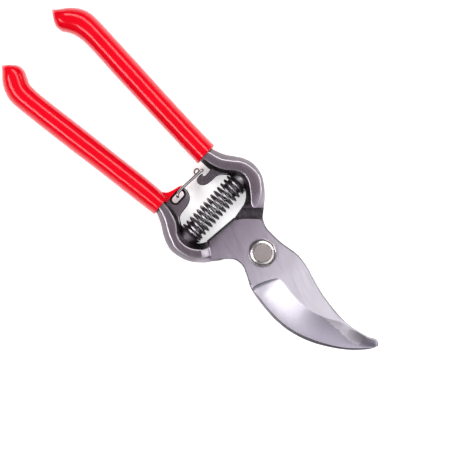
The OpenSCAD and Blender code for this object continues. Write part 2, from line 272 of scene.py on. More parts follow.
NECK_WALL_H = 1.0                           # the same, of a neck
NOSE, NOSE_ROOT = 0.88, 1.6                 # from here to here a tongue's nose widens, in rows
NOSE_MIDDLE = 0.58                          # its middle, as a share of the way across
HIDDEN_RIMS = (0.08, 0.92)                  # the band's rims where the plates cover it
RAMP_FROM, RAMP_TO = 2, 3                   # rows of the ramp up from the plate
LEAST_SLOPE = 0.12                          # least height from a wall up to the band
LEAST_WALL = 0.06                           # least height of a wall
BAR_RADII = [0.4, 0.4, 0.55, 0.6, 0.9, 0.4, 0.4, 0.9, 0.6, 0.55]


def tang_rows(grip_rows):
    """Rows of the bar inside a grip: points TANG_W apart about the middle of the grip's rows."""
    g = np.asarray(grip_rows[1:6], float)
    middle = (g[:, :2] + g[:, 2:]) / 2
    half = unit(g[:, 2:] - g[:, :2]) * TANG_W / 2
    rims = np.tile([0.2, 0.8], (len(g), 1))
    return np.hstack([middle - half, middle + half, rims])


def shoulder(rim, wall, top):
    """Corner between a band's rim and the wall's edge, 0.7 of the way out and 0.4 up."""
    return rim + 0.7 * (1 - rim), wall + 0.4 * (top - wall)


def bar(name, neck, grip_rows, plate, cliff_up):
    """Forged bar of an arm: its neck, then its tang inside the grip. The section has a low
    upright wall on both sides and a flat band on both faces, with sloping shoulders between
    them. On one face the band ends in a round-nosed tongue with a cliff down to the joint
    plane: its half width is sqrt(1 - s^2) of the full one, s going from 0 at the nose's root
    to 1 at its tip. On the other face it ramps down to the plate."""
    rows = np.vstack([np.asarray(neck, float), tang_rows(grip_rows)])
    last = len(neck) - 1
    quarter = np.cos(np.linspace(0, np.pi / 2, 12))
    t = np.unique(np.concatenate([
        np.linspace(0, NOSE, 12), [NOSE + 0.015],
        NOSE_ROOT - (NOSE_ROOT - NOSE - 0.02) * quarter, np.linspace(NOSE_ROOT, 3, 10),
        np.linspace(3, last, 60), np.linspace(last, len(rows) - 1, 24)]).round(4))
    r = along(rows, t)
    a, b = r[:, 0:2], r[:, 2:4]
    rims = r[:, 4], r[:, 5]
    width = np.linalg.norm(b - a, axis=1)
    wall = np.interp(t, [last, last + 1], [NECK_WALL_H, TANG_WALL_H])
    full = np.interp(t, [last, last + 1], [NECK_H, TANG_H])
    cliff = np.where(t <= NOSE, -3 * GAP, full)
    ramp = np.interp(t, [RAMP_FROM, RAMP_TO, last, last + 1],
                     [plate - 0.02, NECK_H, NECK_H, TANG_H])
    narrow = np.sqrt(np.clip(1 - ((NOSE_ROOT - t) / (NOSE_ROOT - NOSE)) ** 2, 0.0004, 1))
    narrow = np.where((t > NOSE) & (t < NOSE_ROOT), narrow, 1)
    tongue = [np.where(t > NOSE, NOSE_MIDDLE + (rim - NOSE_MIDDLE) * narrow, hidden)
              for rim, hidden in zip(rims, HIDDEN_RIMS)]
    up, down = (cliff, ramp) if cliff_up else (ramp, cliff)
    up_rims, down_rims = (tongue, rims) if cliff_up else (rims, tongue)
    wall_up = np.minimum(wall, up - LEAST_SLOPE)
    wall_down = np.minimum(wall, down - LEAST_SLOPE)
    wall_up, wall_down = (np.maximum(wall_up, LEAST_WALL - wall_down),
                          np.maximum(wall_down, LEAST_WALL - wall_up))
    s_up, z_up = shoulder(up_rims[1], wall_up, up)
    s_down, z_down = shoulder(down_rims[1], wall_down, down)
    one, nil = np.ones_like(t), np.zeros_like(t)
    across = np.stack([nil, nil, up_rims[0], up_rims[1], s_up, one,
                       one, s_down, down_rims[1], down_rims[0]], 1) * width[:, None]
    height = np.stack([-wall_down, wall_up, up, up, z_up, wall_up,
                       -wall_down, -z_down, -down, -down], 1)
    section = rounded(np.stack([across, height], -1), BAR_RADII)
    share = section[..., :1] / width[:, None, None]
    flat = a[:, None] + (b - a)[:, None] * share
    return loft(name, np.concatenate([flat, MID_Z + section[..., 1:]], -1))


UNDER_RIM = 0.35                            # height of the broken edge under a plate


def plate_rings(t_edge, ridge, b_edge, low, top, depth, rim, bulge, sharp_edge, fall=0.0):
    """Sections of a plate from its first edge over the ridge to its second edge and back
    underneath. Past the ridge the face drops by depth (1 - (1 - f)^1.5), f being the share of
    the way to the edge. Rims are 45 degree chamfers, but for a ground edge, where sharp_edge
    is 1. A bulge bows the second part by 4 f (1 - f), and the underside rises by fall in the
    last millimetre before the second edge."""
    rise = np.array([0, 0.08, 0.5, 0.92, 1.0])
    span1 = np.linalg.norm(ridge - t_edge, axis=1)[:, None]
    span2 = np.linalg.norm(b_edge - ridge, axis=1)[:, None]
    rim1 = np.minimum(rim, 0.6 * span1)
    d1 = np.hstack([rim1 * rise, rim1 + (span1 - rim1) * np.linspace(0, 1, 16)[1:]])
    rim2 = np.minimum(rim, 0.4 * span2)
    d2 = np.hstack([(span2 - rim2) * np.linspace(0, 1, 22)[1:], span2 - rim2 * rise[-2::-1]])
    chamfer1 = np.maximum(rim1 - d1, 0)
    f = d2 / span2
    left = np.maximum(span2 - d2, 0)
    chamfer2 = np.maximum(rim2 - left, 0)
    drop2 = depth[:, None] * (1 - (1 - f) ** 1.5) + chamfer2 * (1 - sharp_edge[:, None])
    p1 = t_edge[:, None] + (ridge - t_edge)[:, None] * (d1 / span1)[..., None]
    p2 = ridge[:, None] + (b_edge - ridge)[:, None] * f[..., None]
    p2[..., 0] -= bulge[:, None] * 4 * f * (1 - f)
    upper = np.concatenate([p1, p2], 1)
    z = top - np.hstack([chamfer1, drop2])
    back = np.concatenate([[0, 0.02, 0.04, 0.06, 0.09], np.linspace(0.14, 1, 12)])
    share = 0.015 + 0.97 * back
    under = p2[:, -1:] + (p1[:, :1] - p2[:, -1:]) * share[None, :, None]
    width = np.linalg.norm(p1[:, :1] - p2[:, -1:], axis=-1)
    z_under = low + fall * np.clip(1.3 - share[None] * width, 0, 1)
    wall = np.concatenate([p2[:, -1:], p1[:, :1]], 1)
    z_wall = np.stack([np.minimum(low + fall + UNDER_RIM, z[:, -1] - 0.02),
                       np.full(len(z), low + UNDER_RIM)], 1)
    flat = np.concatenate([upper, wall[:, :1], under, wall[:, 1:]], 1)
    height = np.concatenate([z, z_wall[:, :1], z_under, z_wall[:, 1:]], 1)
    return np.concatenate([flat, height[..., None]], -1)


# Rows of the blade, from its square end to its tip: x and y of the back edge, of the ridge and
# of the cutting edge, and the bulge of the ground face.
BLADE = [[-18.9, 3.3, -19.8, -4, -21, -13.2, 0], [-16.4, 6.3, -17.2, -4, -18, -16.8, 0],
         [-13.9, 8.6, -14.2, -4, -14.9, -17.9, 0], [-10.6, 11, -10.8, -4, -11.3, -14, 0],
         [-6.8, 9.6, -7, -4, -7.2, -10.7, 0], [-3, 9.2, -3, -4, -2.8, -10.3, 0],
         [1, 9.1, 1.6, -4, 0.6, -11.8, 0], [4.8, 9.3, 6.2, -4, 3.6, -13.4, 0.3],
         [8.6, 9.8, 10.6, -3.8, 6.4, -14.6, 0.8], [10.4, 10, 12.7, -3.6, 7.2, -14.9, 0.9],
         [10.8, 10, 13.3, -3.5, 7.9, -15.1, 0.95], [11.7, 10, 14.4, -3.4, 9.2, -15.4, 0.95],
         [14, 9.9, 17, -3.8, 12.5, -15.8, 0.8], [19, 8.9, 21.5, -4.7, 18, -16.7, 0.5],
         [25, 6.8, 27, -5, 25, -17.2, 0.2], [32, 4.6, 32.7, -4.7, 31, -16.9, 0],
         [40, 3, 38.5, -3.1, 37, -15.7, 0], [45, 2.4, 43, -1.1, 43.5, -13.4, 0],
         [49.6, 2.2, 48, 1.2, 50, -10.4, 0], [53.5, 2.5, 52.8, 1.9, 56, -6.8, 0],
         [57, 3.2, 56.6, 2.7, 60, -3.6, 0], [61, 4.2, 61, 3.7, 63, -0.9, 0],
         [64, 5.7, 64.1, 5.1, 65.4, 1.5, 0], [65.8, 5.3, 65.8, 4.9, 66.2, 2.8, 0],
         [66.4, 4.5, 66.4, 4.3, 66.5, 3.4, 0]]
# Depth of the grind at the cutting edge: row, depth.
GRIND = [[9, 0], [9.5, 1.2], [10, 1.8], [11, 2.4], [12, 2.75], [21, 2.75], [24, 2.2]]
# Rows of the hook, the same way round: x and y of its upper edge and of its lower edge.
HOOK = [[-20.8, 11.6, -18.8, -3.3], [-17.6, 16, -16.4, -6.4], [-14.3, 16.2, -13.9, -8.6],
        [-11.2, 12.3, -10.6, -11], [-7, 9.8, -6.8, -9.6], [-2.6, 9, -3, -9.8], [2, 8.9, 1, -11.8],
        [6.5, 8.2, 5, -14.4], [9.6, 6.2, 8.5, -16], [11.3, 3, 11.5, -16.8],
        [12.1, -1, 14.5, -17.4], [13.2, -5, 17.5, -17.9], [15.6, -8.4, 20.5, -18.2],
        [19.5, -10.5, 23.5, -18.5], [24, -11.6, 27, -18.5], [29, -11.7, 31, -18.3],
        [34.5, -10.9, 36, -17.4], [40, -9.2, 41.5, -15.8], [46, -6.4, 47, -13.4],
        [52, -3.1, 53, -10], [58, 0.2, 58.5, -6.1], [63, 2.1, 63, -1.9],
        [65.6, 3.2, 65.6, 1.2], [66.4, 3.4, 66.4, 2.6]]


def blade_plate():
    """The blade: sections carried from its square end to its tip, hollow ground. The wall of
    its square end leans out towards the joint plane."""
    t = np.unique(np.concatenate([np.linspace(0, 8, 40), np.linspace(8, 12, 24),
                                  np.linspace(12, 22, 70), np.linspace(22, len(BLADE) - 1, 12)]))
    r = along(BLADE, t)
    depth = np.interp(t, *np.transpose(GRIND))
    sharp_edge = np.clip(t - 9, 0, 1)
    rings = plate_rings(r[:, 0:2], r[:, 2:4], r[:, 4:6], MID_Z + GAP, BLADE_TOP, depth, 0.6,
                        r[:, 6], sharp_edge)
    rings = tapered_ends(rings)
    rings[0, rings[0, :, 2] < MID_Z + BLADE_T / 2, 0] -= END_DRAFT
    return loft("blade_plate", rings, sharp=26)


def hook_plate():
    """The hook: the same sections, flat and upside down, with heavier rims."""
    t = np.unique(np.concatenate([np.linspace(0, 9, 46), np.linspace(9, 22, 90),
                                  np.linspace(22, len(HOOK) - 1, 10)]))
    r = along(HOOK, t)
    ridge = r[:, 0:2] * 0.62 + r[:, 2:4] * 0.38
    nil = np.zeros(len(t))
    rings = plate_rings(r[:, 0:2], ridge, r[:, 2:4], 0.0, HOOK_T - GAP, nil, 0.9, nil, nil, 0.4)
    rings[..., 2] = MID_Z - GAP - rings[..., 2]
    return loft("hook_plate", tapered_ends(rings), sharp=26)


def tapered_ends(rings):
    """Rings with a smaller one 0.3 mm past each end, as a broken edge."""
    ends = []
    for ring, inner in ((rings[0], rings[1]), (rings[-1], rings[-2])):
        middle = ring.mean(axis=0)
        away = unit(middle - inner.mean(axis=0)) * 0.3
        small = middle + (ring - middle) * np.array([0.97, 0.97, 0.8])
        ends.append(small + away * np.array([1, 1, 0]))
    return np.concatenate([ends[0][None], rings, ends[1][None]])


def boss(name, seat_y, towards, seat_r):
    """Turned seat of the spring: a cone out of the neck, a rim at seat_y, and a post with a
    domed end. Heights in the profile are counted towards the neck."""
    post_r = 3.8
    profile = [(1.9, 5.2), (2.5, 4.4), (3.1, 3.6), (seat_r - 0.9, 0.9), (seat_r - 0.3, 0.35),
               (seat_r - 0.12, 0.1), (seat_r - 0.3, 0.0), (post_r + 0.35, 0.0), (post_r, -0.3),
               (post_r, -5.0), (post_r - 0.3, -5.6), (post_r - 1.0, -5.95), (post_r - 2.2, -6.0)]
    profile = [(r, h * towards) for r, h in profile]
    return spun(name, profile, sides=64, axis="Y", at=(SPRING_X, seat_y, MID_Z))


# Outlines of the ear on the blade's arm and of the lobe on the hook's arm: x and y.
EAR = [[-47.5, -16.5], [-47.5, -11], [-47.4, -6], [-47, -3.7], [-45.9, -2.3], [-44, -2.1],
       [-41.9, -2.9], [-40.2, -4.7], [-39.4, -7.2], [-39, -11.4], [-38.2, -13.4],
       [-36.2, -15.2], [-36.4, -18], [-42, -18]]
HOLE = (-45.2, -7.0, 1.5, 1.7)              # x, y, radius and half the straight part
LOBE = [[-42.6, 16], [-42.6, 12], [-42.5, 8.9], [-42.8, 7.9], [-43.3, 7.6], [-43.75, 7.9],
        [-44, 8.2], [-44.35, 7.7], [-44.5, 6], [-44.1, 4.4], [-42.8, 3.5], [-40.9, 4.1],
        [-39.5, 5.8], [-38.9, 8.2], [-38.6, 11.6], [-37.4, 13.6], [-35.6, 15.6], [-37, 18]]


def ear_hole():
    """Cutter for the ear's long hole: an obround that opens out towards both faces."""
    x, y, r, reach = HOLE
    a = np.radians(np.arange(0, 360, 7.5))
    ring = np.stack([np.cos(a), np.sin(a)], -1)
    shift = np.stack([np.zeros_like(a), np.where(a < np.pi, reach, -reach)], -1)
    rings = []
    for z, wider in ((-LOBE_H - 1, 1.512), (-LOBE_H + 0.9, 0.42), (-LOBE_H + 1.2, 0.0),
                     (LOBE_H - 1.2, 0.0), (LOBE_H - 0.9, 0.42), (LOBE_H + 1, 1.512)):
        flat = np.array([x, y]) + ring * (r + wider) + shift
        rings.append(np.hstack([flat, np.full((len(a), 1), MID_Z + z)]))
    return loft("hole", rings)


def bore(radius):
    """Cutter for a pivot hole, longer than both arms are thick."""
    return spun("bore", [(radius, -2), (radius, 30)], sides=96)


NECK_FROM, NECK_TO = -48, -17.5             # the x of the necks
SEAT_W, SEAT_TO = 6.3, 17.25                # half width and reach of the spring's seats
POCKET_FROM, POCKET_TO = -21.5, -10         # the x of the pocket beside the pivot
# Share of dark colour: inner walls black as forging scale and painted shade, plate edges dull and
# darkened with painted shade, the pocket painted shade, outer walls and seats forging scale.
INNER_WALL_SCALE_AND_SHADE, OUTER_SKIN, EDGE_PAINTED_SHADE, SEAT_SKIN, POCKET_PAINTED_SHADE = 1.0, 0.25, 0.68, 0.35, 0.9


def mark_faces(obj, lobe_from, lobe_to, pocket_side, lobe_painted_shade):
    """Face attributes for the finish: skin is the share of dark colour on a face, black
    forging scale on some faces and painted shade on others, ground is 1 on the hollow-ground
    face of the blade, and worn is 1 on the rims of a neck, as wear and painted highlight. The lobe
    or ear lies between two x, with its own skin set as painted light and shade, and the pocket
    beside the pivot is on the side of the sign of y."""
    mesh = obj.data
    n = len(mesh.polygons)
    normal, centre = np.zeros(n * 3), np.zeros(n * 3)
    mesh.polygons.foreach_get("normal", normal)
    mesh.polygons.foreach_get("center", centre)
    normal, centre = normal.reshape(-1, 3), centre.reshape(-1, 3) / MM
    x, y, z = centre.T
    level = np.abs(normal[:, 2])
    # Black walls round the spring, as forging scale and painted shade; thinner scale on the walls
    # outside.
    steep = np.clip((0.62 - level) / 0.12, 0, 1)
    middle = np.array([SPRING_X, 0.0])
    inward = np.einsum("ij,ij->i", middle - centre[:, :2], normal[:, :2]) > 0
    on_neck = (x < NECK_TO) & (x > NECK_FROM)
    scale_and_painted_shade = steep * np.where(inward & on_neck, INNER_WALL_SCALE_AND_SHADE, OUTER_SKIN)
    # Dull edges all round the plates, darkened with painted shade.
    on_plate = np.clip((x - NECK_TO) / 4, 0, 1)
    scale_and_painted_shade = np.maximum(scale_and_painted_shade, EDGE_PAINTED_SHADE * on_plate * np.clip((0.985 - level) / 0.2, 0, 1))
    # The ear or lobe: its own share set as painted light and shade, its steep faces painted dark
    # as an outline of shade.
    on_lobe = (x < lobe_to) & (x > lobe_from) & (np.abs(y) < 13.4)
    scale_and_painted_shade = np.where(on_lobe, np.where(steep > 0, 0.9, lobe_painted_shade), scale_and_painted_shade)
    # The hook's upper face beside the blade's cutting edge painted black as a shadow, its rim
    # lighter.
    on_hook = (x > 7) & (z < MID_Z + 0.02) & (z > MID_Z - 0.8)
    scale_and_painted_shade = np.where(on_hook, np.where(level > 0.8, 0.85, 0.15), scale_and_painted_shade)
    # The spring's seats, and the pocket beside the pivot painted dark as shade.
    on_seat = (np.abs(x - middle[0]) < SEAT_W) & (np.abs(y) < SEAT_TO)
    scale_and_painted_shade = np.where(on_seat, SEAT_SKIN, scale_and_painted_shade)
    in_pocket = ((x < POCKET_TO) & (x > POCKET_FROM) & (y * pocket_side > 0)
                 & (np.abs(z - MID_Z) < 0.3))
    scale_and_painted_shade = np.where(in_pocket, POCKET_PAINTED_SHADE, scale_and_painted_shade)
    # The ground face is all that slopes on top of the blade, but for the rim of its back.
    on_grind = (x > 6) & (z > MID_Z + 0.1) & (normal[:, 2] > 0.5) & (level < 0.9995) & (y < 6)
    back_rim = (y > -3) & (level < 0.96) & (x < 60)
    on_grind &= ~back_rim
    scale_and_painted_shade = np.where(on_grind, 0, scale_and_painted_shade)
    # Wear and painted highlight on the rims of the flat bands, more on the outside.
    wear_and_painted_highlight = np.clip((level - 0.6) / 0.2, 0, 1) * np.clip((0.99 - level) / 0.03, 0, 1)
    wear_and_painted_highlight = wear_and_painted_highlight * np.clip((-15.5 - x) / 3, 0, 1) * np.where(inward, 0.4, 1.0)
    wear_and_painted_highlight = np.where(on_lobe | on_seat | in_pocket, 0, wear_and_painted_highlight)
    for name, values in (("scale_and_painted_shade", scale_and_painted_shade), ("ground", on_grind), ("wear_and_painted_highlight", wear_and_painted_highlight)):
        face_values = mesh.attributes.new(name, "FLOAT", "FACE").data
        face_values.foreach_set("value", np.asarray(values, float))


def blade_arm():
    """The blade's forging: bar, blade, ear and seat in one shell, with its two holes."""
    arm = bar("blade_half_forging", BLADE_NECK, BLADE_GRIP, BLADE_T, cliff_up=False)
    ear = slab("ear", smooth_outline(EAR, 5), MID_Z - LOBE_H, MID_Z + LOBE_H, 0.7)
    seat = boss("seat", SPRING_LOW[1] - GAP, -1, 6.0)
    welded(arm, [blade_plate(), ear, seat])
    welded(arm, [bore(SHANK_R + 0.02), ear_hole()], "DIFFERENCE", sharp=26)
    # The ear's share of dark is painted light and shade.
    mark_faces(arm, -48, -37.6, pocket_side=-1, lobe_painted_shade=0.3)
    return arm


def hook_arm():
    """The hook's forging: bar, hook, lobe and seat in one shell, with its pivot hole."""
    arm = bar("hook_half_forging", HOOK_NECK, HOOK_GRIP, HOOK_T, cliff_up=True)
    lobe = slab("lobe", smooth_outline(LOBE, 5), MID_Z - LOBE_H, MID_Z + LOBE_H, 0.32)
    seat = boss("seat", SPRING_HIGH[1] + GAP, 1, 5.2)
    welded(arm, [hook_plate(), lobe, seat])
    welded(arm, [bore(SHANK_R + 0.04)], "DIFFERENCE", sharp=26)
    # The lobe's share of dark is painted light and shade.
    mark_faces(arm, -45, -38.4, pocket_side=1, lobe_painted_shade=0.6)
    return arm


# ------------------------------------------------------------------ grips
LIP_DEPTH, LIP_SHRINK = 0.5, 0.11           # how far the lip rounds back and draws in
# Rings of a drip: share of the way to its point, and size.
DRIP = np.array([[0.3, 0.78], [0.55, 0.55], [0.75, 0.34], [0.9, 0.19], [0.98, 0.09]])
# The hollow: row, half width and half height.
HOLLOW = [[0, 3.95, 6.7], [0.17, 3.75, 6.7], [0.5, 2.85, 5.15], [6, 2.85, 5.15]]


def section_rings(middle, half, x, z, high):
    """Rings of points: middle plus half times x, at heights high times z about the joint plane."""
    flat = middle[:, None] + half[:, None] * x[None, :, None]
    height = MID_Z + high[:, None] * z[None]
    return np.concatenate([flat, height[..., None]], -1)


def power(values, exponent):
    """Values to that power, with their signs kept."""
    return np.sign(values) * np.abs(values) ** exponent


def grip(name, rows, drip):
    """Dipped sleeve, one closed shell: up the hollow, round the lip and back over the outside
    to the drip. Outside, a section is |cos|^0.77 across and |sin|^0.88 up, and it shrinks
    with sin at the rounded end. The hollow's section is |cos|^0.35 by |sin|^0.35."""
    rows = np.asarray(rows, float)
    last = len(rows) - 1
    w = 2 * np.pi * (np.arange(128) + 0.5) / 128 + np.pi / 2
    c, s = np.cos(w), np.sin(w)
    x_out, z_out = power(c, 0.77), power(s, 0.88)

    t = np.concatenate([np.linspace(0, 4, 60)[1:], np.linspace(4, last, 40)[1:]])
    r = along(rows, t)
    left = (last - t) * 4
    size = np.sin(np.radians(np.minimum(90, 22 + left * 9))) * 0.45 + 0.55
    a, b = r[:, :2], r[:, 2:4]
    middle, half, high = (a + b) / 2, (b - a) / 2, GRIP_H * size
    outer = section_rings(middle, half, x_out, z_out, high)

    first = rows[0]
    lip_middle, lip_half = (first[:2] + first[2:]) / 2, (first[2:] - first[:2]) / 2
    back = unit(lip_middle - (rows[1][:2] + rows[1][2:]) / 2)
    angle = np.radians([0, 25, 50, 70, 90])
    k = 1 - LIP_SHRINK * (1 - np.sin(angle))
    depth = LIP_DEPTH * (1 - np.cos(angle))
    lip = section_rings(lip_middle - back * depth[:, None], lip_half * k[:, None],
                        x_out, z_out, GRIP_H * 0.985 * k)

    f, k = DRIP.T
    drip_rings = section_rings(middle[-1] + (np.asarray(drip) - middle[-1]) * f[:, None],
                               half[-1] * k[:, None], x_out, z_out, high[-1] * k)

    t_in = np.array([5.2, 5.0, 4, 3, 2, 1, 0.5, 0.3, 0.17, 0.0])
    inner = along(np.vstack([rows[:6], rows[5:6]]), np.minimum(t_in, 5))
    place_in, half_w, half_h = np.transpose(HOLLOW)
    wide, tall = np.interp(t_in, place_in, half_w), np.interp(t_in, place_in, half_h)
    mid_in = (inner[:, :2] + inner[:, 2:]) / 2
    dir_in = unit(inner[:, 2:] - inner[:, :2])
    mid_in[0] += unit(mid_in[0] - mid_in[2]) * 2
    hollow = section_rings(mid_in, dir_in * wide[:, None], power(c, 0.35), power(s, 0.35), tall)
    return loft(name, np.concatenate([hollow, lip, outer, drip_rings]), sharp=50)


# Outline of the thin flange that runs from the grip along the ear: x and y.
FLANGE = [[-47.6, -12.6], [-47.5, -9], [-47.45, -6], [-47.1, -3.8], [-46.4, -2.5], [-46.7, -1.7],
          [-47.6, -2.4], [-48.3, -4.2], [-49.1, -6.8], [-50.3, -9], [-52.6, -10.8], [-53, -12.6]]


def blade_arm_grip():
    """The blade's grip, with its flange welded on."""
    sleeve = grip("blade_half_grip", BLADE_GRIP, BLADE_DRIP)
    web = slab("web", smooth_outline(FLANGE, 5), MID_Z - LOBE_H - 0.4, MID_Z + LOBE_H + 0.4, 0.35)
    return welded(sleeve, [web], sharp=50)


# ------------------------------------------------------------------ hardware
def pivot_bolt():
    """Turned bolt: rounded rim, bright dome, a fine groove and a flat, matt centre. The thread
    is a row of V-shaped grooves."""
    h = BOLT_HIGH[2]
    head = BLADE_TOP
    profile = [(0.4, h), (3.7, h), (3.95, h - 0.02), (4.08, h - 0.16), (4.2, h - 0.16),
               (4.35, h - 0.04), (4.9, h - 0.12), (5.4, h - 0.34), (5.85, h - 0.66),
               (6.2, h - 1.05), (6.42, h - 1.45), (HEAD_R, h - 1.75), (HEAD_R, head + 0.2),
               (HEAD_R - 0.2, head + 0.005), (SHANK_R + 0.3, head + 0.005), (SHANK_R, head - 0.3),
               (SHANK_R, HOOK_BOTTOM + 0.3), (SHANK_R - 0.3, HOOK_BOTTOM), (THREAD_R, HOOK_BOTTOM)]
    for z in np.linspace(HOOK_BOTTOM - 0.3, 0.9, 9)[:-1]:
        profile += [(THREAD_R, z), (THREAD_R - 0.28, z - 0.22)]
    profile += [(THREAD_R, 0.8), (THREAD_R - 0.45, 0.12), (THREAD_R - 0.6, 0.0), (0.4, 0.0)]
    return spun("pivot_bolt_turned", profile, sides=128, sharp=24)


def pivot_nut():
    """Hexagon nut: its radius is apothem / cos of the angle from the nearest flat, and the
    corners are broken by 30 degree cones, z = tan 30 (r - face_r)."""
    a = 2 * np.pi * np.arange(144) / 144
    apothem, bore_r = NUT_HIGH[1], THREAD_R + 0.03
    hexagon = apothem / np.cos(a % (np.pi / 3) - np.pi / 6)
    top, low = NUT_HIGH[2], NUT_LOW[2]
    face_r, sink = apothem * 0.97, 0.5
    cone = np.tan(np.radians(30)) * (hexagon - face_r)
    rings = []
    for radius, z in ((bore_r, low + sink), (bore_r + 0.45, low), (face_r, low),
                      (hexagon, low + cone), (hexagon, top - cone), (face_r, top),
                      (bore_r + 0.45, top), (bore_r, top - sink)):
        rings.append(np.stack([radius * np.cos(a), radius * np.sin(a), z + 0 * a], -1))
    return loft("pivot_nut_hexagon", rings, sharp=20, loop=True)


def pivot_washer():
    """Split spring washer: a rounded rectangle carried round, with a gap between its ends."""
    a = np.linspace(np.radians(8), np.radians(352), 120)
    inner, outer = THREAD_R + 0.1, WASHER_HIGH[1] - 0.1
    low, high = WASHER_LOW[2] + 0.02, WASHER_HIGH[2] - 0.02
    corners = np.array([[inner, low], [inner, high], [outer, high], [outer, low]])
    section = rounded(corners[None], [0.12] * 4, 4)[0]
    r = section[None, :, 0]
    rings = np.stack([r * np.cos(a)[:, None], r * np.sin(a)[:, None],
                      np.repeat(section[None, :, 1], len(a), 0)], -1)
    return loft("pivot_washer_split", rings, sharp=40)


def return_spring():
    """Coil: a helix about the Y axis of the bosses, closed up at both ends. With u turns from
    the start the height is u^3 / 2 in the first turn, u - 1/2 after it, and the same mirrored."""
    turns = 14
    r = (SPRING_HIGH[0] - SPRING_LOW[0]) / 2 - WIRE_R
    low, high = SPRING_LOW[1] + WIRE_R, SPRING_HIGH[1] - WIRE_R
    u = np.linspace(0, turns, turns * 28 + 1)
    rise = np.where(u < 1, 0.5 * u ** 3, np.where(u > turns - 1,
                    turns - 1 - 0.5 * (turns - u) ** 3, u - 0.5))
    a = 2 * np.pi * u
    path = np.stack([SPRING_X + r * np.cos(a), low + (high - low) * rise / (turns - 1),
                     MID_Z + r * np.sin(a)], -1)
    return tube("return_spring_coil", path, WIRE_R * 0.9, sides=14)


# Where the catch's wire crosses from the top to below: x and y.
HINGE = (-45.3, -7.0)
CROSSBAR = (-45.2, 9.3)


def safety_catch():
    """Wire bail: down through the ear's hole, along the top, over the crossbar and back below."""
    h = (CATCH_HIGH[2] - CATCH_LOW[2]) / 2 - WIRE_R
    half = [[HINGE[0], HINGE[1], 1.2], [HINGE[0], HINGE[1], h - 1.4],
            [HINGE[0] - 0.15, HINGE[1] + 0.1, h - 0.4], [HINGE[0] - 0.7, HINGE[1] + 0.6, h],
            [-46.35, -5.2, h], [-46.45, -3.4, h], [-46.3, -0.4, h], [-46, 2.4, h],
            [-45.75, 5.4, h], [-45.5, 7.8, h], [-45.35, 8.8, h - 0.1],
            [CROSSBAR[0], CROSSBAR[1], h - 0.9]]
    half = np.array(half)
    path = np.vstack([half, half[::-1] * [1, 1, -1]]) + [0, 0, MID_Z]
    t = np.linspace(0, len(path) - 1, 180)
    return tube("safety_catch_wire", along(path, t), 0.62, sides=16)


def catch_tab():
    """Thumb tab: a strip bent to an arch, carried from one leg of the wire to the other. At
    s, from -1 below to 1 on top, it is 1 - 0.08 (1 - s^2) of its full size."""
    line = along([[-46.2, 8.1], [-47, 8.45], [-47.6, 7.9], [-47.7, 6.9], [-47.1, 6.0],
                  [-46.3, 5.7]], np.linspace(0, 5, 26))
    ahead = unit(np.gradient(line, axis=0))
    side = np.stack([-ahead[:, 1], ahead[:, 0]], -1)
    half_t = 0.28
    ring = np.vstack([line + side * half_t, (line - side * half_t)[::-1]])
    z = np.linspace(TAB_LOW[2], TAB_HIGH[2], 24)
    s = (z - MID_Z) / (TAB_HIGH[2] - MID_Z)
    waist = 1 - 0.08 * (1 - s ** 2)
    middle = ring.mean(axis=0)
    rings = middle + (ring - middle)[None] * waist[:, None, None]
    rings = np.concatenate([rings, np.repeat(z[:, None, None], len(ring), 1)], -1)
    return loft("catch_thumb_tab", rings, sharp=40)


